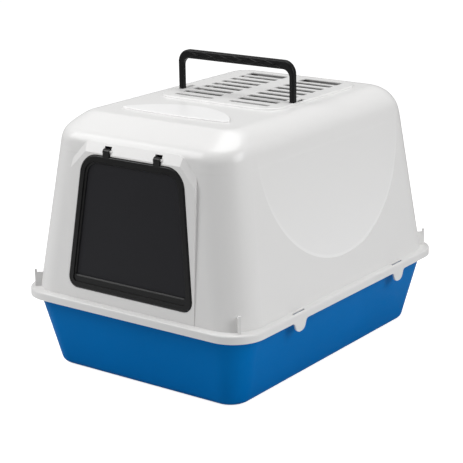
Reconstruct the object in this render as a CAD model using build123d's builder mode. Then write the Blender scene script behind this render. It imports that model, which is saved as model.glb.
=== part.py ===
from build123d import *
from math import atan2, cos, degrees, pi, radians, sin, sqrt, tan
import os

# Covered cat litter box: an open tray, a lift-off hood with a swing door in its front wall,
# a folding carrying handle and a carbon filter under the roof grille.
# Millimetres. +Z up, +X the width, the door faces -Y. Origin: centre of the base, on the floor.

# ---- driving dimensions -------------------------------------------------------------------
LENGTH = 550.0            # over the rim, front to back
WIDTH = 419.2             # over the rim
WALL = 2.5                # moulded wall of tray and hood
GAP = 0.3                 # air between pieces that move apart

# tray
TRAY_FOOT = (341.2, 480.0)      # outline of the base on the floor
TRAY_FOOT_CORNER = 32.0
TRAY_FOOT_ROUND = 12.0          # rounding under the walls
TRAY_MOUTH = (397.4, 528.0)     # outline of the walls at the lip
TRAY_MOUTH_CORNER = 42.0
LIP_TOP = 119.0
LIP_HEIGHT = 3.0
LIP_REACH = 4.0                 # how far the lip stands out from the wall

# hood rim
SKIRT_FOOT = 109.6
RIM_TOP = 121.8
RIM_CORNER = 50.0
RIM_ROUND = 3.0

# hood walls: the foot stands on the rim, the head is the sharp corner with the roof plane
ROOF = 386.6
SIDE_FOOT, SIDE_HEAD = 199.0, 159.2
FRONT_FOOT, FRONT_HEAD = 263.5, 236.3
BACK_FOOT, BACK_HEAD = 263.1, 244.6
WALL_CORNER = 50.0
SIDE_SHOULDER = 40.0
BACK_SHOULDER = 52.0
BROW_RIDGE = 189.0              # front edge of the flat roof
BROW_SLOPE = radians(26)        # the band between the ridge and the front wall
BROW_ROUND = 24.0
RIDGE_ROUND = 15.0

# door
DOOR_SLOPE = 0.084              # set-back of the door plane per millimetre of height
DOOR_FACE = 266.0               # its distance from the middle at the rim's height
DOOR_FOOT, DOOR_HEAD = 139.2, 338.7
DOOR_HALF_FOOT, DOOR_HALF_HEAD = 115.2, 91.4
DOOR_CORNER_HEAD, DOOR_CORNER_FOOT = 31.0, 15.0
DOOR_DEPTH = 7.0
DOOR_BORDER = 8.5                # width of the raised bead
DOOR_SHELF = 3.5                # lower step inside the bead
DOOR_SHELF_DROP = 1.5
DOOR_LEDGE = 7.0                # extra width of the shelf along the foot
DOOR_LEDGE_CHAMFER = 1.6
DOOR_CLEARANCE = 0.9
PANEL_DEPTH = 4.4
PANEL_THICKNESS = 1.8
PANEL_TUCK = 3.0
HINGE_Y, HINGE_Z = -243.8, 345.6
HINGE_PIN = 2.0                 # radius of the two pin bars
HINGE_FIT = 0.08                # radial clearance of every bearing
HOOK_AT = 46.0
HOOK_WIDTH = 11.0
HOOK_RADIUS = 4.3
WINDOW = (13.0, 14.0)

# surround of the door on the front wall
PORTAL_FACE = 264.3
PORTAL_FOOT_HALF, PORTAL_HEAD_HALF = 118.6, 112.6
PORTAL_HEAD = 357.7
PORTAL_CORNER = 40.0
PORTAL_WALL = 3.0
PORTAL_BEVEL = radians(25)
PORTAL_DEPTH = 24.0
CORNER_BEVEL = 25.0             # degrees
CORNER_BEVEL_REACH = 27.0       # where it starts, from the middle of the corner's curve
CREST_FOOT = DOOR_HEAD + 3

# roof grille and what hangs under it
PAD_HALF, PAD_FRONT, PAD_BACK = 111.0, -54.0, 181.0
PAD_RISE = 3.0
PAD_CORNER = 26.0
GRILLE_WALL = 1.6
SLOT_IN, SLOT_OUT = 15.4, 87.5
SLOT_FIRST, SLOT_PITCH = -33.2, 24.05
SLOT_WIDTHS = [8.0] + [12.5] * 7 + [21.0]

# carrying handle
HANDLE_AT = 103.5
HANDLE_Y = 5.0
HANDLE_TOP = 451.7
HANDLE_THICK = 8.0              # across the legs, along X
HANDLE_DEEP = 10.0              # along Y
GRIP_HEIGHT = 13.5
HANDLE_BEND = 20.0
HANDLE_ROUND = 2.4
HANDLE_PIVOT = ROOF + PAD_RISE - 7.0
HANDLE_PIN = 2.6
HANDLE_SLOT_BACK = 33.0

# closure tabs, corner posts
TAB_CENTRES = (-133.5, 141.5)
TAB_WIDTH = 31.0                # at the skirt
TAB_TIP = 19.0
TAB_NECK_ROUND, TAB_TIP_ROUND = 6.0, 11.0
TAB_FOOT = 94.0
TAB_SLIT = (202.8, 206.4)       # across the rim
TAB_SLIT_LENGTH = 30.0
TAB_SLIT_WALL = 1.2
BARB_REACH = 0.9
POST_HEIGHT = 26.0
POST_REACH = 58.5               # outer edge, from the middle of the corner's curve
POST_THICKNESS = 3.6

# scalloped field in each side wall, sunk by a hair at its foot
SCALLOP_CENTRE = (12.0, 347.0)
SCALLOP_RADII = (187.0, 179.0)
SCALLOP_TILT = radians(0.18)

# lens-shaped rise on the roof
LENS_HALF, LENS_FRONT, LENS_BACK = 100.0, -150.0, -88.0
LENS_BULGE = 6.0
LENS_TIP = 5.0                  # rounding of the two tips
LENS_RISE = 2.2
LENS_EDGE = 1.8                 # rounding round the top

# ribs under the roof, filter and filter cover
LUG_THICK = 3.0
LUG_TALL = 15.0
LUG_LONG = 30.0
HANDLE_FOOT = 5.0               # the legs reach this far below the pivot
FILTER_HALF, FILTER_FRONT, FILTER_BACK = 89.0, -46.0, 172.0
FILTER_THICK = 8.0
COVER_FOOT = 372.0
COVER_THICK = 3.0
COVER_PIN = 1.5
COVER_HINGE_Y = FILTER_FRONT + 3.0
COVER_PITCH = 26.0


# ---- hood outline -------------------------------------------------------------------------
def wall_at(z, foot, head):
    return foot + (head - foot) * (z - RIM_TOP) / (ROOF - RIM_TOP)


def shoulder_at(z, foot, head, radius, inset):
    """Distance of a leaning wall from the middle, rounded over into the roof."""
    lean = atan2(foot - head, ROOF - RIM_TOP)
    middle = ROOF - radius
    reach = head - radius * tan((pi / 2 - lean) / 2)
    bend = radius - inset
    if z <= middle + bend * sin(lean):
        return wall_at(z, foot, head) - inset / cos(lean)
    return reach + sqrt(max(bend**2 - (z - middle) ** 2, 0))


def brow_at(z, inset):
    """Distance of the front from the middle: wall, round brow, sloping band, rounded ridge."""
    lean = atan2(FRONT_FOOT - FRONT_HEAD, ROOF - RIM_TOP)
    wall_zero = FRONT_FOOT + RIM_TOP * tan(lean) - BROW_ROUND / cos(lean)
    band_zero = BROW_RIDGE + (ROOF - BROW_ROUND / cos(BROW_SLOPE)) / tan(BROW_SLOPE)
    middle_z = (band_zero - wall_zero) / (1 / tan(BROW_SLOPE) - tan(lean))
    middle_y = wall_zero - middle_z * tan(lean)
    bend = BROW_ROUND - inset
    ridge = RIDGE_ROUND - inset
    if z >= ROOF - RIDGE_ROUND + ridge * cos(BROW_SLOPE):
        ridge_middle = BROW_RIDGE - RIDGE_ROUND * tan(BROW_SLOPE / 2)
        return ridge_middle + sqrt(max(ridge**2 - (z - ROOF + RIDGE_ROUND) ** 2, 0))
    if z <= middle_z + bend * sin(lean):
        return wall_at(z, FRONT_FOOT, FRONT_HEAD) - inset / cos(lean)
    if z >= middle_z + bend * cos(BROW_SLOPE):
        return BROW_RIDGE + (ROOF - inset / cos(BROW_SLOPE) - z) / tan(BROW_SLOPE)
    return middle_y + sqrt(bend**2 - (z - middle_z) ** 2)


def hood_section(z, inset):
    half = shoulder_at(z, SIDE_FOOT, SIDE_HEAD, SIDE_SHOULDER, inset)
    back = shoulder_at(z, BACK_FOOT, BACK_HEAD, BACK_SHOULDER, inset)
    front = brow_at(z, inset)
    drawn_in = wall_at(z, SIDE_FOOT, SIDE_HEAD) - inset - half
    corner = max(WALL_CORNER - inset - drawn_in, 6)
    with BuildSketch(Plane.XY.offset(z)) as section:
        with Locations((0, (back - front) / 2)):
            RectangleRounded(2 * half, back + front, corner)
    return section.sketch


def dome(inset, foot):
    """The hood's solid form: straight leaning walls below, a rounded crown above."""
    crown_levels = [
        ROOF - inset - (BACK_SHOULDER - inset) * (1 - sin(radians(angle))) for angle in range(0, 91, 6)
    ]
    with BuildPart() as form:
        loft([hood_section(foot, inset), hood_section(crown_levels[0], inset)])
        loft([hood_section(z, inset) for z in crown_levels])
    return form.part


# ---- door planes and outlines -------------------------------------------------------------
def door_plane_y(z, face):
    return -face + DOOR_SLOPE * (z - RIM_TOP)


DOOR_NORMAL = (0, -1, DOOR_SLOPE)
DOOR_PLANE = Plane((0, door_plane_y(DOOR_FOOT, DOOR_FACE), DOOR_FOOT), x_dir=(1, 0, 0), z_dir=DOOR_NORMAL)
PORTAL_PLANE = Plane((0, door_plane_y(RIM_TOP, PORTAL_FACE), RIM_TOP), x_dir=(1, 0, 0), z_dir=DOOR_NORMAL)
DOOR_TALL = (DOOR_HEAD - DOOR_FOOT) * sqrt(1 + DOOR_SLOPE**2)


def door_outline(margin, foot_margin=0.0):
    """The door's outline on its own plane, larger by margin; foot_margin moves the foot alone."""
    with BuildSketch() as outline:
        with BuildLine():
            Polyline(
                (-DOOR_HALF_FOOT, -foot_margin),
                (DOOR_HALF_FOOT, -foot_margin),
                (DOOR_HALF_HEAD, DOOR_TALL),
                (-DOOR_HALF_HEAD, DOOR_TALL),
                close=True,
            )
        make_face()
        fillet(outline.vertices().group_by(Axis.Y)[-1], DOOR_CORNER_HEAD)
        fillet(outline.vertices().group_by(Axis.Y)[0], DOOR_CORNER_FOOT)
        if margin:
            offset(amount=margin)
    return outline.sketch


def portal_outline(margin):
    tall = PORTAL_HEAD - RIM_TOP
    with BuildSketch() as outline:
        with BuildLine():
            Polyline(
                (-PORTAL_FOOT_HALF, 0),
                (PORTAL_FOOT_HALF, 0),
                (PORTAL_HEAD_HALF, tall),
                (-PORTAL_HEAD_HALF, tall),
                close=True,
            )
        make_face()
        fillet(outline.vertices().group_by(Axis.Y)[-1], PORTAL_CORNER)
        if margin:
            offset(amount=margin)
    return outline.sketch


# ---- tray ---------------------------------------------------------------------------------
def tray_form(inset, floor):
    """The tray's walls as a solid, from its floor to the lip's top."""
    with BuildPart() as form:
        with BuildSketch(Plane.XY.offset(floor)):
            RectangleRounded(TRAY_FOOT[0] - 2 * inset, TRAY_FOOT[1] - 2 * inset, TRAY_FOOT_CORNER - inset)
        with BuildSketch(Plane.XY.offset(LIP_TOP)):
            RectangleRounded(TRAY_MOUTH[0] - 2 * inset, TRAY_MOUTH[1] - 2 * inset, TRAY_MOUTH_CORNER - inset)
        loft()
        fillet(form.faces().sort_by(Axis.Z)[0].edges(), TRAY_FOOT_ROUND - inset)
    return form.part


tray_outer = tray_form(0, 0)
tray_inner = tray_form(WALL, WALL)

with BuildPart() as base_tray:
    add(tray_outer)
    with BuildSketch(Plane.XY.offset(LIP_TOP - LIP_HEIGHT)):
        RectangleRounded(
            TRAY_MOUTH[0] + 2 * LIP_REACH, TRAY_MOUTH[1] + 2 * LIP_REACH, TRAY_MOUTH_CORNER + LIP_REACH
        )
    extrude(amount=LIP_HEIGHT)
    fillet(base_tray.faces().sort_by(Axis.Z)[-1].edges(), 1.0)
    add(tray_inner, mode=Mode.SUBTRACT)
base_tray.part.label = "base_tray"

# ---- hood ---------------------------------------------------------------------------------
hood_outer = dome(0, RIM_TOP - WALL)
hood_inner = dome(WALL, RIM_TOP - 2 * WALL)

# the surround of the door stands out of the front wall, its top bevelled back into the wall
crest = Plane(
    (0, door_plane_y(CREST_FOOT, PORTAL_FACE), CREST_FOOT),
    x_dir=(1, 0, 0),
    z_dir=(0, -cos(PORTAL_BEVEL), sin(PORTAL_BEVEL)),
)
corner_crests = [
    Plane(
        PORTAL_PLANE
        * Pos(side * (PORTAL_HEAD_HALF - PORTAL_CORNER), PORTAL_HEAD - RIM_TOP - PORTAL_CORNER)
        * Rot(0, 0, -side * 45)
        * Pos(0, CORNER_BEVEL_REACH)
        * Rot(-CORNER_BEVEL, 0, 0)
    )
    for side in (-1, 1)
]
portal_block = extrude(PORTAL_PLANE * portal_outline(0), -PORTAL_DEPTH)
portal_core = extrude(PORTAL_PLANE.offset(-PORTAL_WALL) * portal_outline(-PORTAL_WALL), -PORTAL_DEPTH)
with BuildPart() as portal:
    add(portal_block)
    for bevel in (crest, *corner_crests):
        split(bisect_by=bevel, keep=Keep.BOTTOM)
with BuildPart() as portal_hollow:
    add(portal_core)
    for bevel in (crest, *corner_crests):
        split(bisect_by=bevel.offset(-PORTAL_WALL), keep=Keep.BOTTOM)
door_opening = extrude(DOOR_PLANE * door_outline(DOOR_CLEARANCE), 20, both=True)

# what the scalloped field takes away from the +X wall
SIDE_LEAN = atan2(SIDE_FOOT - SIDE_HEAD, ROOF - RIM_TOP)
SCALLOP_TOP = ROOF - BACK_SHOULDER - 2
scallop_face = Plane(
    (wall_at(SCALLOP_TOP, SIDE_FOOT, SIDE_HEAD), 0, SCALLOP_TOP),
    x_dir=(0, 1, 0),
    z_dir=(cos(SIDE_LEAN - SCALLOP_TILT), 0, sin(SIDE_LEAN - SCALLOP_TILT)),
)
with BuildPart() as side_scallop:
    with BuildSketch(Plane.YZ.offset(SIDE_HEAD - 10)):
        with Locations(SCALLOP_CENTRE):
            Ellipse(*SCALLOP_RADII)
    extrude(amount=SIDE_FOOT - SIDE_HEAD + 20)
    split(bisect_by=scallop_face, keep=Keep.TOP)
    split(bisect_by=Plane.XY.offset(SCALLOP_TOP), keep=Keep.BOTTOM)
other_scallop = mirror(side_scallop.part, about=Plane.YZ)

# rim: a flat flange round the foot of the walls, with a skirt over the tray's lip
with BuildPart() as rim:
    with BuildSketch(Plane.XY.offset(SKIRT_FOOT)):
        RectangleRounded(WIDTH, LENGTH, RIM_CORNER)
    extrude(amount=RIM_TOP - SKIRT_FOOT)
    fillet(rim.faces().sort_by(Axis.Z)[-1].edges(), RIM_ROUND)

# closure tabs: rounded tongues that hang from the skirt, with a barb that grips under the lip
with BuildPart() as tabs:
    for side in (-1, 1):
        for centre in TAB_CENTRES:
            with BuildSketch(Plane.YZ.offset(side * (WIDTH / 2 - WALL))) as tongue:
                with BuildLine():
                    Polyline(
                        (centre - TAB_WIDTH, SKIRT_FOOT + 2),
                        (centre - TAB_WIDTH, SKIRT_FOOT),
                        (centre - TAB_WIDTH / 2, SKIRT_FOOT),
                        (centre - TAB_TIP / 2, TAB_FOOT),
                        (centre + TAB_TIP / 2, TAB_FOOT),
                        (centre + TAB_WIDTH / 2, SKIRT_FOOT),
                        (centre + TAB_WIDTH, SKIRT_FOOT),
                        (centre + TAB_WIDTH, SKIRT_FOOT + 2),
                        close=True,
                    )
                make_face()
                neck = tongue.vertices().filter_by(lambda v: abs(v.Y - SKIRT_FOOT) < 0.01)
                fillet(neck.filter_by(lambda v: abs(v.X - centre) < TAB_WIDTH * 0.6), TAB_NECK_ROUND)
                fillet(tongue.vertices().group_by(Axis.Y)[0], TAB_TIP_ROUND)
            extrude(amount=side * WALL)

tab_barbs = [
    Pos(side * (WIDTH / 2 - WALL), centre, LIP_TOP - LIP_HEIGHT - 2.6) * Box(2 * BARB_REACH, 20, 3)
    for side in (-1, 1)
    for centre in TAB_CENTRES
]

# stacking posts: thin ribs that stand on the rim at the four corners, stepped at the top
with BuildPart() as posts:
    for end in (-1, 1):
        for side in (-1, 1):
            corner = (side * (SIDE_FOOT - WALL_CORNER), end * (FRONT_FOOT - WALL_CORNER))
            heading = degrees(atan2(end, side))
            upright = Plane((corner[0], corner[1], 0)).rotated((0, 0, heading))
            with BuildSketch(Plane(upright.origin, x_dir=upright.x_dir, z_dir=-upright.y_dir)):
                with BuildLine():
                    Polyline(
                        (WALL_CORNER - 6, RIM_TOP - 1),
                        (POST_REACH, RIM_TOP - 1),
                        (POST_REACH, RIM_TOP + POST_HEIGHT),
                        (POST_REACH - 3.5, RIM_TOP + POST_HEIGHT),
                        (POST_REACH - 3.5, RIM_TOP + POST_HEIGHT - 5),
                        (WALL_CORNER - 6, RIM_TOP + POST_HEIGHT - 5),
                        close=True,
                    )
                make_face()
            extrude(amount=POST_THICKNESS / 2, both=True)

# raised roof pad that carries the grille
with BuildPart() as roof_pad:
    with BuildSketch(Plane.XY.offset(ROOF - WALL)):
        with Locations((0, (PAD_FRONT + PAD_BACK) / 2)):
            RectangleRounded(2 * PAD_HALF, PAD_BACK - PAD_FRONT, PAD_CORNER)
    extrude(amount=WALL + PAD_RISE)
    fillet(roof_pad.faces().sort_by(Axis.Z)[-1].edges(), PAD_RISE - 0.2)

pad_hollow = extrude(
    Plane.XY.offset(ROOF - 2 * WALL)
    * Pos(0, (PAD_FRONT + PAD_BACK) / 2)
    * RectangleRounded(2 * (PAD_HALF - 4), PAD_BACK - PAD_FRONT - 8, PAD_CORNER - 4),
    2 * WALL + PAD_RISE - GRILLE_WALL,
)

# plain lens-shaped rise on the roof in front of the grille
with BuildPart() as roof_lens:
    with BuildSketch(Plane.XY.offset(ROOF - 1)) as lens_outline:
        with BuildLine():
            ThreePointArc((-LENS_HALF, LENS_FRONT), (0, LENS_BACK), (LENS_HALF, LENS_FRONT))
            ThreePointArc((LENS_HALF, LENS_FRONT), (0, LENS_FRONT - LENS_BULGE), (-LENS_HALF, LENS_FRONT))
        make_face()
        fillet(lens_outline.vertices(), LENS_TIP)
    extrude(amount=1 + LENS_RISE)
    fillet(roof_lens.faces().sort_by(Axis.Z)[-1].edges(), LENS_EDGE)

# the two pin bars that carry the door, one across each window
door_pins = [
    Pos(side * HOOK_AT, HINGE_Y, HINGE_Z) * Rot(0, 90, 0) * Cylinder(HINGE_PIN, WINDOW[0] + 4)
    for side in (-1, 1)
]
hinge_windows = [Pos(side * HOOK_AT, HINGE_Y, HINGE_Z) * Box(WINDOW[0], 26, WINDOW[1]) for side in (-1, 1)]

# ribs under the roof: bearings for the handle, and a frame round the filter
ceiling = ROOF + PAD_RISE - GRILLE_WALL
lug_offset = HANDLE_THICK / 2 + GAP + LUG_THICK / 2
handle_lugs = [
    Pos(side * HANDLE_AT + step, HANDLE_Y + 6, ceiling - LUG_TALL / 2 + 0.5)
    * Box(LUG_THICK, LUG_LONG, LUG_TALL + 1)
    for side in (-1, 1)
    for step in (-lug_offset, lug_offset)
]
handle_bores = [
    Pos(side * HANDLE_AT, HANDLE_Y, HANDLE_PIVOT)
    * Rot(0, 90, 0)
    * Cylinder(HANDLE_PIN + HINGE_FIT, 2 * (lug_offset + LUG_THICK))
    for side in (-1, 1)
]
handle_slots = [
    Pos(side * HANDLE_AT, (HANDLE_Y - HANDLE_DEEP / 2 - 1 + HANDLE_SLOT_BACK) / 2, ROOF)
    * Box(HANDLE_THICK + 2 * GAP, HANDLE_SLOT_BACK - HANDLE_Y + HANDLE_DEEP / 2 + 1, 16)
    for side in (-1, 1)
]
frame_middle = (FILTER_FRONT + FILTER_BACK) / 2
with BuildPart() as filter_frame:
    with BuildSketch(Plane.XY.offset(COVER_FOOT - 1)):
        with Locations((0, frame_middle)):
            Rectangle(2 * (FILTER_HALF + 2 + WALL), FILTER_BACK - FILTER_FRONT + 2 * (2 + WALL))
            Rectangle(2 * (FILTER_HALF + 2), FILTER_BACK - FILTER_FRONT + 4, mode=Mode.SUBTRACT)
    extrude(amount=ceiling - COVER_FOOT + 1.5)
cover_bores = (
    Pos(0, COVER_HINGE_Y, COVER_FOOT + COVER_THICK / 2)
    * Rot(0, 90, 0)
    * Cylinder(COVER_PIN + HINGE_FIT, 2 * (FILTER_HALF + 8))
)

grille_slots = [
    Pos(side * (SLOT_IN + SLOT_OUT) / 2, SLOT_FIRST + row * SLOT_PITCH, ceiling)
    * extrude(RectangleRounded(SLOT_OUT - SLOT_IN, width, 2.5), 8, both=True)
    for row, width in enumerate(SLOT_WIDTHS)
    for side in (-1, 1)
]
slit_middle = sum(TAB_SLIT) / 2
slit_across = TAB_SLIT[1] - TAB_SLIT[0]
tab_slits = [
    Pos(side * slit_middle, centre + 1, RIM_TOP - WALL) * Box(slit_across, TAB_SLIT_LENGTH, 3 * WALL)
    for side in (-1, 1)
    for centre in TAB_CENTRES
]
# the rim is thinner round each slit
slit_pockets = [
    Pos(side * slit_middle, centre + 1, RIM_TOP - TAB_SLIT_WALL - WALL / 2)
    * Box(slit_across + 2, TAB_SLIT_LENGTH + 4, WALL)
    for side in (-1, 1)
    for centre in TAB_CENTRES
]

with BuildPart() as hood_shell:
    add(hood_outer)
    add(rim.part)
    add(portal.part)
    add([side_scallop.part, other_scallop], mode=Mode.SUBTRACT)
    add(posts.part)
    add(roof_pad.part)
    add(roof_lens.part)
    # hollow it out
    add(hood_inner, mode=Mode.SUBTRACT)
    with BuildSketch(Plane.XY.offset(SKIRT_FOOT - 1)):
        RectangleRounded(WIDTH - 2 * WALL, LENGTH - 2 * WALL, RIM_CORNER - WALL)
    extrude(amount=RIM_TOP - WALL - SKIRT_FOOT + 1, mode=Mode.SUBTRACT)
    add(portal_hollow.part, mode=Mode.SUBTRACT)
    add(pad_hollow, mode=Mode.SUBTRACT)
    # door opening and hinge
    add(door_opening, mode=Mode.SUBTRACT)
    add(hinge_windows, mode=Mode.SUBTRACT)
    add(door_pins)
    # roof
    add(handle_lugs)
    add(filter_frame.part)
    add(handle_slots, mode=Mode.SUBTRACT)
    add(handle_bores, mode=Mode.SUBTRACT)
    add(cover_bores, mode=Mode.SUBTRACT)
    add(grille_slots, mode=Mode.SUBTRACT)
    # closures
    add(tabs.part)
    add(tab_barbs)
    add(slit_pockets, mode=Mode.SUBTRACT)
    add(tab_slits, mode=Mode.SUBTRACT)
hood_shell.part.label = "hood_shell"

# ---- door ---------------------------------------------------------------------------------
def hook_profile(radius, reach):
    """Side view of a hinge hook: an eye round the pin and a web down to the door's edge."""
    with BuildSketch(Plane.YZ) as profile:
        with Locations((HINGE_Y, HINGE_Z)):
            Circle(radius)
        with BuildLine():
            Polyline(
                (HINGE_Y - radius, HINGE_Z),
                (HINGE_Y - radius, HINGE_Z - reach),
                (HINGE_Y + 1.2, HINGE_Z - reach),
                (HINGE_Y + 1.2, HINGE_Z),
                close=True,
            )
        make_face()
    return profile.sketch


door_block = extrude(DOOR_PLANE * door_outline(0), -DOOR_DEPTH)
with BuildPart() as bead:
    add(door_block)
    fillet(bead.faces().filter_by(lambda f: f.normal_at().Y < -0.9).edges(), 2.0)
door_hole = extrude(DOOR_PLANE * door_outline(-DOOR_BORDER - DOOR_SHELF, -DOOR_LEDGE), 10, both=True)
door_step = extrude(DOOR_PLANE.offset(-DOOR_SHELF_DROP) * door_outline(-DOOR_BORDER), 10)
panel_groove = extrude(
    DOOR_PLANE.offset(-PANEL_DEPTH)
    * door_outline(PANEL_TUCK - DOOR_BORDER - DOOR_SHELF, -DOOR_LEDGE),
    -PANEL_THICKNESS,
)
with BuildPart() as border:
    add(bead.part)
    add(door_hole, mode=Mode.SUBTRACT)
    add(door_step, mode=Mode.SUBTRACT)
    ledge = border.edges().filter_by(Axis.X).filter_by(
        lambda e: DOOR_BORDER + 2 < e.center().Z - DOOR_FOOT < DOOR_BORDER + DOOR_SHELF + DOOR_LEDGE + 3
    )
    chamfer(ledge.sort_by(Axis.Y)[0], DOOR_LEDGE_CHAMFER)
    add(panel_groove, mode=Mode.SUBTRACT)

hook = extrude(hook_profile(HOOK_RADIUS, HINGE_Z - DOOR_HEAD + 3), HOOK_WIDTH / 2, both=True)
hook_bore = Pos(0, HINGE_Y, HINGE_Z) * Rot(0, 90, 0) * Cylinder(HINGE_PIN + HINGE_FIT, 2 * HOOK_WIDTH)

with BuildPart() as door_frame:
    add(border.part)
    add([Pos(side * HOOK_AT, 0, 0) * hook for side in (-1, 1)])
    add([Pos(side * HOOK_AT, 0, 0) * hook_bore for side in (-1, 1)], mode=Mode.SUBTRACT)
door_frame.part.label = "door_frame"

with BuildPart() as door_panel:
    add(panel_groove)
door_panel.part.label = "door_panel"

# ---- carrying handle ----------------------------------------------------------------------
handle_pins = [
    Pos(side * HANDLE_AT, HANDLE_Y, HANDLE_PIVOT)
    * Rot(0, 90, 0)
    * Cylinder(HANDLE_PIN, HANDLE_THICK + 2 * (GAP + LUG_THICK))
    for side in (-1, 1)
]

with BuildPart() as carry_handle:
    with BuildSketch(Plane.XZ.offset(-HANDLE_Y)):
        with BuildLine():
            outer = HANDLE_AT + HANDLE_THICK / 2
            inner = HANDLE_AT - HANDLE_THICK / 2
            grip_foot = HANDLE_TOP - GRIP_HEIGHT
            FilletPolyline(
                (-outer, HANDLE_PIVOT - HANDLE_FOOT),
                (-outer, HANDLE_TOP),
                (outer, HANDLE_TOP),
                (outer, HANDLE_PIVOT - HANDLE_FOOT),
                radius=HANDLE_BEND,
            )
            Line((outer, HANDLE_PIVOT - HANDLE_FOOT), (inner, HANDLE_PIVOT - HANDLE_FOOT))
            FilletPolyline(
                (inner, HANDLE_PIVOT - HANDLE_FOOT),
                (inner, grip_foot),
                (-inner, grip_foot),
                (-inner, HANDLE_PIVOT - HANDLE_FOOT),
                radius=HANDLE_BEND - HANDLE_THICK,
            )
            Line((-inner, HANDLE_PIVOT - HANDLE_FOOT), (-outer, HANDLE_PIVOT - HANDLE_FOOT))
        make_face()
    extrude(amount=HANDLE_DEEP / 2, both=True)
    outlines = carry_handle.edges().filter_by(
        lambda e: abs(abs(e.center().Y - HANDLE_Y) - HANDLE_DEEP / 2) < 0.01
    )
    fillet(outlines, HANDLE_ROUND)
    add(handle_pins)
carry_handle.part.label = "carry_handle"

# ---- filter and its cover -----------------------------------------------------------------
with BuildPart() as carbon_filter:
    with BuildSketch(Plane.XY.offset(COVER_FOOT + COVER_THICK + GAP)):
        with Locations((0, (FILTER_FRONT + 12 + FILTER_BACK) / 2)):
            RectangleRounded(2 * FILTER_HALF, FILTER_BACK - FILTER_FRONT - 12, 4)
    extrude(amount=FILTER_THICK)
carbon_filter.part.label = "carbon_filter"

cover_pin = (
    Pos(0, COVER_HINGE_Y, COVER_FOOT + COVER_THICK / 2)
    * Rot(0, 90, 0)
    * Cylinder(COVER_PIN, 2 * (FILTER_HALF + 2 + WALL))
)

with BuildPart() as filter_cover:
    with BuildSketch(Plane.XY.offset(COVER_FOOT)):
        with Locations((0, frame_middle)):
            Rectangle(2 * (FILTER_HALF + 1.4), FILTER_BACK - FILTER_FRONT + 2.8)
        with GridLocations(2 * FILTER_HALF / 2, COVER_PITCH, 2, 8):
            with Locations((0, frame_middle)):
                RectangleRounded(FILTER_HALF - 14, COVER_PITCH - 8, 3, mode=Mode.SUBTRACT)
    extrude(amount=COVER_THICK)
    add(cover_pin)
filter_cover.part.label = "filter_cover"

# ---- export -------------------------------------------------------------------------------
os.makedirs("parts", exist_ok=True)
for piece in (base_tray, hood_shell, door_frame, door_panel, carry_handle, carbon_filter, filter_cover):
    export_step(piece.part, f"parts/{piece.part.label}.step")
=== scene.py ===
import math

import bmesh
import bpy
from bpy.props import FloatProperty, FloatVectorProperty, IntProperty, PointerProperty
from mathutils import Matrix, Vector


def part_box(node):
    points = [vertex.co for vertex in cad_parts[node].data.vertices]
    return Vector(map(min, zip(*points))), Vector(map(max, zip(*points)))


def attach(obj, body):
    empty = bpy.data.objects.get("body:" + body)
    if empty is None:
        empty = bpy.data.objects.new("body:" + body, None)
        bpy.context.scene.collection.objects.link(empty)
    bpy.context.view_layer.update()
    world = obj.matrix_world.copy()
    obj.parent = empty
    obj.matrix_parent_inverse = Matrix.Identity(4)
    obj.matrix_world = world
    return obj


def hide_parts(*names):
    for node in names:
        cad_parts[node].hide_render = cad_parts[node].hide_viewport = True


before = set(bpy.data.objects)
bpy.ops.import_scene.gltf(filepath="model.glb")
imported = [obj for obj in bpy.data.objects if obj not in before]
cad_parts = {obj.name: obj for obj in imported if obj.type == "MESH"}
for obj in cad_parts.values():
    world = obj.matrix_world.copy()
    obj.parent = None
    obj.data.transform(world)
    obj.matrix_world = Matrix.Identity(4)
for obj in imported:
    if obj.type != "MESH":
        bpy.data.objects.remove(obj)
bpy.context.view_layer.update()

bl_info = {
    "name": "Covered litter box",
    "version": (1, 0, 0),
    "blender": (4, 5, 0),
    "location": "3D View > Sidebar > Litter Box",
    "description": "Dresses a covered cat litter box with moulded plastic, a grip and a carbon filter",
    "category": "Object",
}

MILLIMETRE = 0.001
# painted sheen on the hood: a half ellipse on each side wall, painted lighter for the sheen of its
# polished field, and the lens on the roof, painted as a highlight
SCALLOP_ALONG = 12 * MILLIMETRE         # centre of the ellipse behind the middle of the hood
SCALLOP_DROP = 42.6 * MILLIMETRE        # centre of the ellipse below the top of the grille
SCALLOP_RADII = (187 * MILLIMETRE, 179 * MILLIMETRE)
SCALLOP_SHEEN = 0.65                    # strength of the painted sheen inside its border line
SCALLOP_HIGHLIGHT_LINE = 0.35                     # what the painted highlight along the border line adds to that
SCALLOP_FADE = (-0.17, 0.01)            # heights above its centre between which the field fades
LENS_DROP = 1.4 * MILLIMETRE            # the painted highlight of the lens on the roof ends this far below the top of the grille
# how far the painted sheen and highlights lift the hood's colour towards white
FIELD_SHEEN_STRENGTH = 0.6
# the relief on the grip
RELIEF_MARGIN = 26 * MILLIMETRE         # plain grip at each end
RELIEF_TOP = 2.6 * MILLIMETRE           # below the top of the grip
RELIEF_FOOT = 10.9 * MILLIMETRE         # below the top of the grip
RIB_ROOT = 0.2 * MILLIMETRE             # how far the ribs reach into the grip
# the foam pad
PAD_ROUND = 2 * MILLIMETRE
PAD_VOXEL = 2 * MILLIMETRE
# the plastics
PLASTIC_IOR = 1.49
COAT_ROUGHNESS = 0.16
GRAIN_DEPTH = 0.06 * MILLIMETRE
EDGE_RUB_WIDTH = 1.5 * MILLIMETRE
# the stage
FLOOR_HALF = 6                          # half of the floor's side in metres
LIT_POINT = (0, 0, 0.2)                 # the lamps point here
SENSOR_WIDTH = 36                       # of the camera, in millimetres


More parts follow.
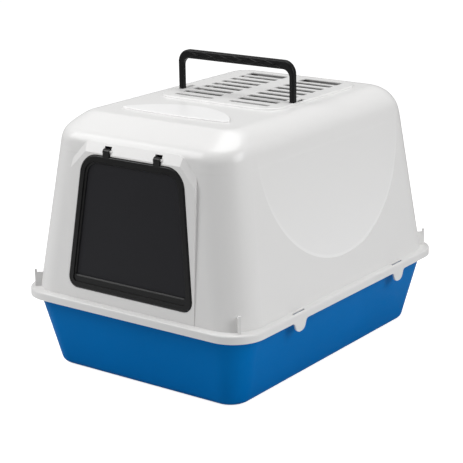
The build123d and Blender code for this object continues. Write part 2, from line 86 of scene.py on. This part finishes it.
# ---- settings -----------------------------------------------------------------------------
class LitterPlasticSettings(bpy.types.PropertyGroup):
    """Colours and finish of the moulded plastics."""

    hood_colour: FloatVectorProperty(
        name="Hood", description="Off-white of the hood", subtype="COLOR", size=3,
        min=0, max=1, default=(0.80, 0.796, 0.79),
    )
    tray_colour: FloatVectorProperty(
        name="Tray", description="Blue of the tray", subtype="COLOR", size=3,
        min=0, max=1, default=(0.0, 0.175, 0.53),
    )
    black_colour: FloatVectorProperty(
        name="Black parts", description="Black of the door border and the handle", subtype="COLOR",
        size=3, min=0, max=1, default=(0.006, 0.006, 0.0063),
    )
    panel_colour: FloatVectorProperty(
        name="Door panel", description="Near-black of the door panel", subtype="COLOR",
        size=3, min=0, max=1, default=(0.016, 0.016, 0.019),
    )
    hood_roughness: FloatProperty(
        name="Hood roughness", description="Roughness of the satin hood", min=0, max=1, default=0.31
    )
    tray_roughness: FloatProperty(
        name="Tray roughness", description="Roughness of the tray", min=0, max=1, default=0.36
    )
    black_roughness: FloatProperty(
        name="Black roughness", description="Roughness of the black parts", min=0, max=1, default=0.32
    )
    grain_size: FloatProperty(
        name="Grain size", description="Width of one grain of the spark-eroded finish",
        unit="LENGTH", min=0.0001, max=0.01, default=0.0011,
    )


class LitterGripSettings(bpy.types.PropertyGroup):
    """The moulded relief on the handle's grip."""

    lozenges: IntProperty(
        name="Lozenges", description="Number of lozenges along the grip", min=1, max=20, default=6
    )
    rib_width: FloatProperty(
        name="Rib width", description="Width of a rib of the relief", unit="LENGTH",
        min=0.0003, max=0.005, default=0.0018,
    )
    rib_height: FloatProperty(
        name="Rib height", description="How far the ribs stand out of the grip", unit="LENGTH",
        min=0.0001, max=0.003, default=0.0009,
    )


class LitterFoamSettings(bpy.types.PropertyGroup):
    """The carbon foam pad of the filter."""

    cell: FloatProperty(
        name="Cell", description="Size of one cell of the open foam", unit="LENGTH",
        min=0.0005, max=0.01, default=0.0024,
    )
    roughen: FloatProperty(
        name="Roughen", description="How far the foam's skin moves in and out", unit="LENGTH",
        min=0, max=0.002, default=0.0004,
    )


class LitterStudioSettings(bpy.types.PropertyGroup):
    """Camera, floor and light."""

    azimuth: FloatProperty(
        name="Azimuth", description="Camera's turn from the front towards the right side",
        subtype="ANGLE", default=math.radians(36.18),
    )
    elevation: FloatProperty(
        name="Elevation", description="Camera's height over the level", subtype="ANGLE",
        default=math.radians(16.62),
    )
    distance: FloatProperty(
        name="Distance", description="Camera to target", unit="LENGTH", default=2.362
    )
    roll: FloatProperty(
        name="Roll", description="Turn of the camera about its own axis", subtype="ANGLE",
        default=math.radians(-0.78),
    )
    target: FloatVectorProperty(
        name="Target", description="Point that the camera looks at", subtype="TRANSLATION",
        size=3, default=(0.00468, 0.00343, 0.17171),
    )
    sky: FloatProperty(name="Sky", description="Strength of the light from all round", default=0.28)
    overhead: FloatProperty(
        name="Overhead", description="Power of the lamp above in watts", default=17
    )
    side: FloatProperty(
        name="Side", description="Power of the lamp on the right in watts", default=20
    )
    front: FloatProperty(
        name="Front", description="Power of the lamp in front in watts", default=18
    )
    floor_glow: FloatProperty(
        name="Floor glow", description="Light that the floor adds where it is seen", default=0.85
    )
    lens: FloatProperty(name="Lens", description="Focal length in millimetres", default=117.85)
    shift: FloatVectorProperty(
        name="Shift", description="Lens shift in frame widths", size=2, default=(-0.0189, 0.0035)
    )


# ---- node helpers -------------------------------------------------------------------------
def new_group(name, inputs, outputs):
    """A shader node group with named sockets; returns the tree and its two end nodes."""
    tree = bpy.data.node_groups.new(name, "ShaderNodeTree")
    for label, kind, default in inputs:
        socket = tree.interface.new_socket(name=label, in_out="INPUT", socket_type=kind)
        socket.default_value = default
    for label, kind in outputs:
        tree.interface.new_socket(name=label, in_out="OUTPUT", socket_type=kind)
    return tree, tree.nodes.new("NodeGroupInput"), tree.nodes.new("NodeGroupOutput")


def math_node(tree, operation, first, second, clamp=False):
    """A Math node; each operand is a number or a socket. Returns the result socket."""
    node = tree.nodes.new("ShaderNodeMath")
    node.operation = operation
    node.use_clamp = clamp
    for index, value in enumerate((first, second)):
        if isinstance(value, (int, float)):
            node.inputs[index].default_value = value
        else:
            tree.links.new(value, node.inputs[index])
    return node.outputs[0]


def range_node(tree, value, low, high, to_low=0.0, to_high=1.0):
    """A clamped Map Range node that turns low..high into to_low..to_high."""
    node = tree.nodes.new("ShaderNodeMapRange")
    tree.links.new(value, node.inputs["Value"])
    limits = {"From Min": low, "From Max": high, "To Min": to_low, "To Max": to_high}
    for label, number in limits.items():
        node.inputs[label].default_value = number
    return node.outputs["Result"]


def mix_node(tree, factor, first, second):
    """A colour Mix node; each colour is a tuple or a socket. Returns the result socket."""
    node = tree.nodes.new("ShaderNodeMix")
    node.data_type = "RGBA"
    tree.links.new(factor, node.inputs["Factor"])
    colour_inputs = [socket for socket in node.inputs if socket.type == "RGBA"]
    for socket, value in zip(colour_inputs, (first, second)):
        if isinstance(value, tuple):
            socket.default_value = value
        else:
            tree.links.new(value, socket)
    return next(socket for socket in node.outputs if socket.type == "RGBA")


def noise_node(tree, vector, scale, detail=3.0, roughness=0.5):
    """A Noise Texture; the scale is a number or a socket."""
    node = tree.nodes.new("ShaderNodeTexNoise")
    tree.links.new(vector, node.inputs["Vector"])
    if isinstance(scale, (int, float)):
        node.inputs["Scale"].default_value = scale
    else:
        tree.links.new(scale, node.inputs["Scale"])
    node.inputs["Detail"].default_value = detail
    node.inputs["Roughness"].default_value = roughness
    return node.outputs["Fac"]


# ---- shared effects -----------------------------------------------------------------------
def mould_grain_group():
    """Spark-eroded mould finish: fine pits with a slow drift of their depth over the wall."""
    tree, start, end = new_group(
        "Mould Grain",
        [("Grain Size", "NodeSocketFloat", 0.001), ("Depth", "NodeSocketFloat", 1.0)],
        [("Height", "NodeSocketFloat"), ("Roughness Shift", "NodeSocketFloat")],
    )
    place = tree.nodes.new("ShaderNodeTexCoord").outputs["Object"]
    frequency = math_node(tree, "DIVIDE", 1.0, start.outputs["Grain Size"])
    fine = noise_node(tree, place, frequency, 2.0, 0.6)
    pits = range_node(tree, fine, 0.35, 0.65)
    drift = noise_node(tree, place, 9.0, 2.0)
    worn_depth = range_node(tree, drift, 0.3, 0.7, 0.7, 1.0)
    depth = math_node(tree, "MULTIPLY", worn_depth, start.outputs["Depth"])
    tree.links.new(math_node(tree, "MULTIPLY", pits, depth), end.inputs["Height"])
    cloud = noise_node(tree, place, 26.0, 4.0)
    tree.links.new(range_node(tree, cloud, 0.25, 0.75, -0.03, 0.03), end.inputs["Roughness Shift"])
    return tree


def resin_drift_group():
    """Slow, faint change of tone where the melt flowed through the mould."""
    tree, start, end = new_group(
        "Resin Drift",
        [
            ("Colour", "NodeSocketColor", (0.8, 0.8, 0.8, 1)),
            ("Deep Colour", "NodeSocketColor", (0.7, 0.7, 0.7, 1)),
            ("Amount", "NodeSocketFloat", 0.3),
        ],
        [("Colour", "NodeSocketColor")],
    )
    coordinates = tree.nodes.new("ShaderNodeTexCoord").outputs["Object"]
    stretch = tree.nodes.new("ShaderNodeMapping")
    stretch.inputs["Scale"].default_value = (1.0, 1.0, 0.45)
    tree.links.new(coordinates, stretch.inputs["Vector"])
    flow = noise_node(tree, stretch.outputs["Vector"], 6.0, 5.0, 0.55)
    share = math_node(tree, "MULTIPLY", range_node(tree, flow, 0.3, 0.75), start.outputs["Amount"])
    mixed = mix_node(tree, share, start.outputs["Colour"], start.outputs["Deep Colour"])
    tree.links.new(mixed, end.inputs["Colour"])
    return tree


def edge_rub_group():
    """Rubbed edges: a slightly paler line where hands and floor touch the corners."""
    tree, start, end = new_group(
        "Edge Rub",
        [
            ("Colour", "NodeSocketColor", (0.8, 0.8, 0.8, 1)),
            ("Rub Colour", "NodeSocketColor", (1, 1, 1, 1)),
            ("Amount", "NodeSocketFloat", 0.3),
        ],
        [("Colour", "NodeSocketColor")],
    )
    rounded = tree.nodes.new("ShaderNodeBevel")
    rounded.samples = 4
    rounded.inputs["Radius"].default_value = EDGE_RUB_WIDTH
    turn = tree.nodes.new("ShaderNodeVectorMath")
    turn.operation = "DOT_PRODUCT"
    tree.links.new(rounded.outputs["Normal"], turn.inputs[0])
    tree.links.new(tree.nodes.new("ShaderNodeNewGeometry").outputs["Normal"], turn.inputs[1])
    edge = range_node(tree, turn.outputs["Value"], 0.98, 0.85)
    place = tree.nodes.new("ShaderNodeTexCoord").outputs["Object"]
    patch = range_node(tree, noise_node(tree, place, 60.0, 4.0, 0.65), 0.4, 0.65)
    touched = math_node(tree, "MULTIPLY", edge, patch)
    rub = math_node(tree, "MULTIPLY", touched, start.outputs["Amount"], True)
    mixed = mix_node(tree, rub, start.outputs["Colour"], start.outputs["Rub Colour"])
    tree.links.new(mixed, end.inputs["Colour"])
    return tree


def painted_sheen_fields_group():
    """Mask of the hood's painted sheen and highlight: a scallop on each side wall, a lens on the roof.
    """
    tree, start, end = new_group(
        "Painted Sheen Fields",
        [
            ("Scallop Centre Y", "NodeSocketFloat", 0.0),
            ("Scallop Centre Z", "NodeSocketFloat", 0.0),
            ("Scallop Radius Y", "NodeSocketFloat", 1.0),
            ("Scallop Radius Z", "NodeSocketFloat", 1.0),
            ("Wall Beyond", "NodeSocketFloat", 0.1),
            ("Lens Over", "NodeSocketFloat", 1.0),
            ("Lens In Front Of", "NodeSocketFloat", 0.0),
        ],
        [("Mask", "NodeSocketFloat")],
    )
    place = tree.nodes.new("ShaderNodeSeparateXYZ")
    tree.links.new(tree.nodes.new("ShaderNodeTexCoord").outputs["Object"], place.inputs[0])
    total = None
    for axis in ("Y", "Z"):
        centre = start.outputs[f"Scallop Centre {axis}"]
        away = math_node(tree, "SUBTRACT", place.outputs[axis], centre)
        share = math_node(tree, "DIVIDE", away, start.outputs[f"Scallop Radius {axis}"])
        squared = math_node(tree, "MULTIPLY", share, share)
        total = squared if total is None else math_node(tree, "ADD", total, squared)
    inside = range_node(tree, total, 0.992, 1.0, 1.0, 0.0)
    # painted highlight: a brighter line just inside the scallop's border
    line = math_node(tree, "MULTIPLY", range_node(tree, total, 0.94, 0.96), SCALLOP_HIGHLIGHT_LINE)
    level = math_node(tree, "MULTIPLY", inside, math_node(tree, "ADD", line, SCALLOP_SHEEN))
    height = math_node(tree, "SUBTRACT", place.outputs["Z"], start.outputs["Scallop Centre Z"])
    level = math_node(tree, "MULTIPLY", level, range_node(tree, height, *SCALLOP_FADE, 1.0, 0.0))
    outward = math_node(tree, "ABSOLUTE", place.outputs["X"], 0)
    past_wall = math_node(tree, "SUBTRACT", outward, start.outputs["Wall Beyond"])
    wall = range_node(tree, past_wall, 0.0, 0.03)
    scallop = math_node(tree, "MULTIPLY", level, wall)
    # the lens on the roof: a painted highlight over the front of the roof's top
    over = math_node(tree, "GREATER_THAN", place.outputs["Z"], start.outputs["Lens Over"])
    before = math_node(tree, "LESS_THAN", place.outputs["Y"], start.outputs["Lens In Front Of"])
    lens = math_node(tree, "MULTIPLY", over, before)
    tree.links.new(math_node(tree, "ADD", scallop, lens), end.inputs["Mask"])
    return tree


def fine_scuffs_group():
    """Hair-fine scuffs from wiping: short streaks that only change the gloss."""
    tree, start, end = new_group(
        "Fine Scuffs", [("Amount", "NodeSocketFloat", 0.1)], [("Roughness Shift", "NodeSocketFloat")]
    )
    place = tree.nodes.new("ShaderNodeTexCoord").outputs["Object"]
    total = None
    streaks = ((0.5, (420.0, 420.0, 9.0)), (-0.9, (9.0, 300.0, 300.0)))
    for turn, scale in streaks:
        stretch = tree.nodes.new("ShaderNodeMapping")
        stretch.inputs["Rotation"].default_value = (turn, turn * 0.6, turn)
        stretch.inputs["Scale"].default_value = scale
        tree.links.new(place, stretch.inputs["Vector"])
        streak = range_node(tree, noise_node(tree, stretch.outputs["Vector"], 1.0, 2.0), 0.62, 0.72)
        total = streak if total is None else math_node(tree, "ADD", total, streak, True)
    shift = math_node(tree, "MULTIPLY", total, start.outputs["Amount"])
    tree.links.new(shift, end.inputs["Roughness Shift"])
    return tree


def place_group(tree, name, maker, **values):
    """Puts a shared effect into a material, with this material's own values."""
    node = tree.nodes.new("ShaderNodeGroup")
    node.node_tree = bpy.data.node_groups.get(name) or maker()
    for label, value in values.items():
        node.inputs[label.replace("_", " ")].default_value = value
    return node


# ---- materials ----------------------------------------------------------------------------
def shade(colour, factor):
    return tuple(factor * channel for channel in colour)


def moulded_plastic(
    name, colour, deep, roughness, grain, bump, scuffs, rub=None, rub_amount=0.0, coat=0.0, specular=0.3
):
    """Injection-moulded plastic with mould grain, flow tone, scuffs and, if given, rubbed edges."""
    material = bpy.data.materials.new(name)
    material.use_nodes = True
    tree = material.node_tree
    shader = tree.nodes["Principled BSDF"]
    shader.inputs["Specular IOR Level"].default_value = specular
    drift = place_group(tree, "Resin Drift", resin_drift_group, Colour=(*colour, 1), Amount=0.5)
    drift.inputs["Deep Colour"].default_value = (*deep, 1)
    surface = drift.outputs["Colour"]
    if rub:
        worn = place_group(tree, "Edge Rub", edge_rub_group, Rub_Colour=(*rub, 1), Amount=rub_amount)
        tree.links.new(surface, worn.inputs["Colour"])
        surface = worn.outputs["Colour"]
    tree.links.new(surface, shader.inputs["Base Color"])
    texture = place_group(tree, "Mould Grain", mould_grain_group, Grain_Size=grain, Depth=1.0)
    scuff = place_group(tree, "Fine Scuffs", fine_scuffs_group, Amount=scuffs)
    shift = math_node(tree, "ADD", texture.outputs["Roughness Shift"], scuff.outputs["Roughness Shift"])
    tree.links.new(math_node(tree, "ADD", shift, roughness, True), shader.inputs["Roughness"])
    relief = tree.nodes.new("ShaderNodeBump")
    relief.inputs["Strength"].default_value = bump
    relief.inputs["Distance"].default_value = GRAIN_DEPTH
    tree.links.new(texture.outputs["Height"], relief.inputs["Height"])
    tree.links.new(relief.outputs["Normal"], shader.inputs["Normal"])
    shader.inputs["IOR"].default_value = PLASTIC_IOR
    shader.inputs["Coat Weight"].default_value = coat
    shader.inputs["Coat Roughness"].default_value = COAT_ROUGHNESS
    return material


def foam_material(cell):
    """Open-cell carbon foam: round dark cells between grey-black struts."""
    material = bpy.data.materials.new("Carbon foam")
    material.use_nodes = True
    tree = material.node_tree
    shader = tree.nodes["Principled BSDF"]
    place = tree.nodes.new("ShaderNodeTexCoord").outputs["Object"]
    cells = tree.nodes.new("ShaderNodeTexVoronoi")
    cells.inputs["Scale"].default_value = 1 / cell
    tree.links.new(place, cells.inputs["Vector"])
    strut = range_node(tree, cells.outputs["Distance"], 0.15, 0.6)
    colour = mix_node(tree, strut, (0.004, 0.004, 0.004, 1), (0.024, 0.024, 0.026, 1))
    tree.links.new(colour, shader.inputs["Base Color"])
    relief = tree.nodes.new("ShaderNodeBump")
    relief.inputs["Strength"].default_value = 0.8
    relief.inputs["Distance"].default_value = 0.0008
    tree.links.new(strut, relief.inputs["Height"])
    tree.links.new(relief.outputs["Normal"], shader.inputs["Normal"])
    shader.inputs["Roughness"].default_value = 0.95
    return material


def floor_material(glow):
    """Pale sweep, lifted to white where the camera sees it, so that only soft shadows show."""
    material = bpy.data.materials.new("Pale floor")
    material.use_nodes = True
    tree = material.node_tree
    shader = tree.nodes["Principled BSDF"]
    seen = tree.nodes.new("ShaderNodeLightPath").outputs["Is Camera Ray"]
    shader.inputs["Emission Color"].default_value = (1, 1, 1, 1)
    tree.links.new(math_node(tree, "MULTIPLY", seen, glow), shader.inputs["Emission Strength"])
    place = tree.nodes.new("ShaderNodeTexCoord").outputs["Object"]
    tone = range_node(tree, noise_node(tree, place, 3.0, 3.0), 0.3, 0.7)
    colour = mix_node(tree, tone, (0.62, 0.62, 0.62, 1), (0.66, 0.66, 0.66, 1))
    tree.links.new(colour, shader.inputs["Base Color"])
    shader.inputs["Roughness"].default_value = 0.8
    return material


def paint_field_sheen(material):
    """Paints sheen into the colour of the scallops and the lens of the hood as a lighter tone, with a
    painted highlight line round the scallops.
    """
    tree = material.node_tree
    shader = tree.nodes["Principled BSDF"]
    low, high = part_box("hood_shell")
    field = place_group(
        tree, "Painted Sheen Fields", painted_sheen_fields_group,
        Scallop_Centre_Y=SCALLOP_ALONG,
        Scallop_Centre_Z=high.z - SCALLOP_DROP,
        Scallop_Radius_Y=SCALLOP_RADII[0],
        Scallop_Radius_Z=SCALLOP_RADII[1],
        Wall_Beyond=0.6 * high.x,
        Lens_Over=high.z - LENS_DROP,
        Lens_In_Front_Of=0.3 * low.y,
    )
    colour = shader.inputs["Base Color"].links[0].from_socket
    # painted sheen and highlight: the hood's colour mixed towards white inside the fields
    amount = math_node(tree, "MULTIPLY", field.outputs["Mask"], FIELD_SHEEN_STRENGTH)
    tree.links.new(mix_node(tree, amount, colour, (1, 1, 1, 1)), shader.inputs["Base Color"])


def dress(node, material):
    """Gives a CAD piece its finish."""
    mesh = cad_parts[node].data
    mesh.materials.clear()
    mesh.materials.append(material)


def mesh_object(name, form):
    """Turns a bmesh into an object of the scene."""
    mesh = bpy.data.meshes.new(name)
    form.to_mesh(mesh)
    form.free()
    thing = bpy.data.objects.new(name, mesh)
    bpy.context.scene.collection.objects.link(thing)
    return thing


# ---- operators ----------------------------------------------------------------------------
class LITTER_OT_tray(bpy.types.Operator):
    """Finish the blue tray"""

    bl_idname = "litter.tray"
    bl_label = "Tray"

    def execute(self, context):
        look = context.scene.litter_plastic
        blue = tuple(look.tray_colour)
        paler = tuple(channel * 1.2 + 0.02 for channel in blue)
        dress("base_tray", moulded_plastic(
            "Blue tray plastic", blue, shade(blue, 0.82), look.tray_roughness, look.grain_size,
            bump=0.5, scuffs=0.08, rub=paler, rub_amount=0.12, specular=0.03,
        ))
        return {"FINISHED"}


class LITTER_OT_hood(bpy.types.Operator):
    """Finish the off-white hood"""

    bl_idname = "litter.hood"
    bl_label = "Hood"

    def execute(self, context):
        look = context.scene.litter_plastic
        white = tuple(look.hood_colour)
        material = moulded_plastic(
            "White hood plastic", white, shade(white, 0.99), look.hood_roughness, look.grain_size,
            bump=0.25, scuffs=0.015, coat=0.25,
        )
        paint_field_sheen(material)
        dress("hood_shell", material)
        return {"FINISHED"}


class LITTER_OT_door(bpy.types.Operator):
    """Finish the door's border and panel"""

    bl_idname = "litter.door"
    bl_label = "Door"

    def execute(self, context):
        look = context.scene.litter_plastic
        black = tuple(look.black_colour)
        dress("door_frame", moulded_plastic(
            "Black border plastic", black, shade(black, 0.75), look.black_roughness, look.grain_size,
            bump=0.5, scuffs=0.08, rub=(0.05, 0.05, 0.05), rub_amount=0.4, specular=0.32,
        ))
        panel = tuple(look.panel_colour)
        dress("door_panel", moulded_plastic(
            "Door panel plastic", panel, shade(panel, 0.85), look.black_roughness + 0.1,
            look.grain_size * 1.4, bump=0.7, scuffs=0.08, rub=(0.05, 0.05, 0.055), rub_amount=0.2,
            specular=0.2,
        ))
        return {"FINISHED"}


def add_rib(form, start, end, outward, width, height):
    """One rib of triangular section from start to end, rooted a little way into the grip."""
    along = (end - start).normalized()
    across = Vector((-along.z, 0, along.x)) * width / 2
    sections = []
    for point in (start, end):
        centre = point - outward * RIB_ROOT
        crown = centre + outward * (height + RIB_ROOT)
        corners = (centre + across, crown, centre - across)
        sections.append([form.verts.new(corner) for corner in corners])
    near, far = sections
    for first, second in ((0, 1), (1, 2), (2, 0)):
        form.faces.new((near[first], near[second], far[second], far[first]))
    form.faces.new(near)
    form.faces.new(reversed(far))


def lozenge_relief(box, count, rib_width, rib_height):
    """Crossing ribs on the two broad faces of the grip, as a row of long lozenges."""
    low, high = box
    step = (high.x - low.x - 2 * RELIEF_MARGIN) / count
    top = high.z - RELIEF_TOP
    foot = high.z - RELIEF_FOOT
    form = bmesh.new()
    for skin, outward in ((low.y, Vector((0, -1, 0))), (high.y, Vector((0, 1, 0)))):
        for index in range(count):
            left = low.x + RELIEF_MARGIN + index * step
            for near_z, far_z in ((foot, top), (top, foot)):
                start = Vector((left, skin, near_z))
                end = Vector((left + step, skin, far_z))
                add_rib(form, start, end, outward, rib_width, rib_height)
    bmesh.ops.recalc_face_normals(form, faces=form.faces)
    return form


class LITTER_OT_handle(bpy.types.Operator):
    """Finish the handle and mould the relief on its grip"""

    bl_idname = "litter.handle"
    bl_label = "Handle"

    def execute(self, context):
        look = context.scene.litter_plastic
        grip = context.scene.litter_grip
        black = tuple(look.black_colour)
        material = moulded_plastic(
            "Black handle plastic", black, shade(black, 0.75), look.black_roughness, look.grain_size,
            bump=0.5, scuffs=0.1, rub=(0.06, 0.06, 0.06), rub_amount=0.5, specular=0.2,
        )
        dress("carry_handle", material)
        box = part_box("carry_handle")
        form = lozenge_relief(box, grip.lozenges, grip.rib_width, grip.rib_height)
        relief = mesh_object("grip_relief", form)
        relief.data.materials.append(material)
        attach(relief, "handle")
        return {"FINISHED"}


def bake_modifiers(thing):
    """Turns an object's modifiers into plain mesh."""
    bpy.context.view_layer.update()
    depsgraph = bpy.context.evaluated_depsgraph_get()
    mesh = bpy.data.meshes.new_from_object(thing.evaluated_get(depsgraph))
    thing.modifiers.clear()
    thing.data = mesh


def foam_pad(box, cell, roughen):
    """A block of foam with rounded edges and a rough skin, which stays inside its box."""
    low, high = box
    form = bmesh.new()
    bmesh.ops.create_cube(form, size=1)
    form.transform(Matrix.Translation((low + high) / 2) @ Matrix.Diagonal((*(high - low), 1)))
    bmesh.ops.bevel(
        form, geom=form.edges[:], offset=PAD_ROUND, segments=3, affect="EDGES", profile=0.5
    )
    pad = mesh_object("carbon_foam_pad", form)
    remesh = pad.modifiers.new("Even cells", "REMESH")
    remesh.mode = "VOXEL"
    remesh.voxel_size = PAD_VOXEL
    texture = bpy.data.textures.new("Foam skin", "CLOUDS")
    texture.noise_scale = cell * 2
    skin = pad.modifiers.new("Foam skin", "DISPLACE")
    skin.texture = texture
    skin.strength = roughen
    skin.mid_level = 1.0
    bake_modifiers(pad)
    return pad


class LITTER_OT_filter(bpy.types.Operator):
    """Make the carbon foam pad and finish its cover"""

    bl_idname = "litter.filter"
    bl_label = "Filter"

    def execute(self, context):
        look = context.scene.litter_plastic
        foam = context.scene.litter_foam
        pad = foam_pad(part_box("carbon_filter"), foam.cell, foam.roughen)
        pad.data.materials.append(foam_material(foam.cell))
        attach(pad, "hood")
        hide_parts("carbon_filter")
        white = tuple(look.hood_colour)
        dress("filter_cover", moulded_plastic(
            "White cover plastic", white, shade(white, 0.95), look.hood_roughness, look.grain_size,
            bump=0.35, scuffs=0.06, rub=(0.86, 0.855, 0.84), rub_amount=0.2,
        ))
        return {"FINISHED"}


def soft_light(name, place, size, power, shape="RECTANGLE"):
    """A large lamp that points at the middle of the hood."""
    data = bpy.data.lights.new(name, "AREA")
    data.shape = shape
    data.size, data.size_y = size
    data.energy = power
    lamp = bpy.data.objects.new(name, data)
    bpy.context.scene.collection.objects.link(lamp)
    lamp.location = place
    lamp.rotation_euler = (Vector(LIT_POINT) - lamp.location).to_track_quat("-Z", "Y").to_euler()


def make_floor(studio):
    """A plain pale floor."""
    form = bmesh.new()
    bmesh.ops.create_grid(form, x_segments=1, y_segments=1, size=FLOOR_HALF)
    floor = mesh_object("floor", form)
    floor.data.materials.append(floor_material(studio.floor_glow))


def make_light(scene, studio):
    """Light from all round and three large lamps."""
    world = bpy.data.worlds.new("Studio")
    scene.world = world
    world.use_nodes = True
    tree = world.node_tree
    sky = tree.nodes["Background"]
    sky.inputs["Color"].default_value = (1, 1, 1, 1)
    direct = tree.nodes.new("ShaderNodeLightPath").outputs["Is Camera Ray"]
    tree.links.new(range_node(tree, direct, 0, 1, studio.sky, 1.0), sky.inputs["Strength"])
    soft_light("Overhead", (0.0, 0.2, 2.1), (1.3, 1.3), studio.overhead, "ELLIPSE")
    soft_light("Right", (2.0, 0.1, 1.25), (1.0, 1.2), studio.side)
    soft_light("Front", (-1.15, -1.1, 1.35), (1.0, 1.0), studio.front)


def make_camera(scene, studio):
    """The camera, turned round its target."""
    heading = Vector((
        math.sin(studio.azimuth) * math.cos(studio.elevation),
        -math.cos(studio.azimuth) * math.cos(studio.elevation),
        math.sin(studio.elevation),
    ))
    data = bpy.data.cameras.new("Camera")
    data.lens = studio.lens
    data.sensor_width = SENSOR_WIDTH
    data.shift_x, data.shift_y = studio.shift
    camera = bpy.data.objects.new("Camera", data)
    scene.collection.objects.link(camera)
    camera.location = Vector(studio.target) + heading * studio.distance
    aim = (-heading).to_track_quat("-Z", "Y").to_matrix()
    camera.rotation_euler = (aim @ Matrix.Rotation(studio.roll, 3, "Z")).to_euler()
    scene.camera = camera


class LITTER_OT_studio(bpy.types.Operator):
    """Set the floor, the soft studio light and the camera"""

    bl_idname = "litter.studio"
    bl_label = "Studio"

    def execute(self, context):
        scene = context.scene
        studio = scene.litter_studio
        make_floor(studio)
        make_light(scene, studio)
        make_camera(scene, studio)
        scene.view_settings.view_transform = "Standard"
        return {"FINISHED"}


class LITTER_PT_panel(bpy.types.Panel):
    """Buttons for the covered litter box"""

    bl_idname = "LITTER_PT_panel"
    bl_label = "Covered Litter Box"
    bl_space_type = "VIEW_3D"
    bl_region_type = "UI"
    bl_category = "Litter Box"

    def draw(self, context):
        for settings in ("litter_plastic", "litter_grip", "litter_foam", "litter_studio"):
            group = getattr(context.scene, settings)
            for name in group.__annotations__:
                self.layout.prop(group, name)
        for operator in OPERATORS:
            self.layout.operator(operator.bl_idname)


SETTINGS = {
    "litter_plastic": LitterPlasticSettings,
    "litter_grip": LitterGripSettings,
    "litter_foam": LitterFoamSettings,
    "litter_studio": LitterStudioSettings,
}
OPERATORS = (
    LITTER_OT_studio, LITTER_OT_tray, LITTER_OT_hood, LITTER_OT_door, LITTER_OT_handle, LITTER_OT_filter
)


def register():
    for kind in (*SETTINGS.values(), *OPERATORS, LITTER_PT_panel):
        bpy.utils.register_class(kind)
    for name, kind in SETTINGS.items():
        setattr(bpy.types.Scene, name, PointerProperty(type=kind))


def unregister():
    for name in SETTINGS:
        delattr(bpy.types.Scene, name)
    for kind in reversed((*SETTINGS.values(), *OPERATORS, LITTER_PT_panel)):
        bpy.utils.unregister_class(kind)


def main():
    """Makes the scene."""
    register()
    bpy.ops.litter.studio()
    bpy.ops.litter.tray()
    bpy.ops.litter.hood()
    bpy.ops.litter.door()
    bpy.ops.litter.handle()
    bpy.ops.litter.filter()


if __name__ == "__main__":
    main()
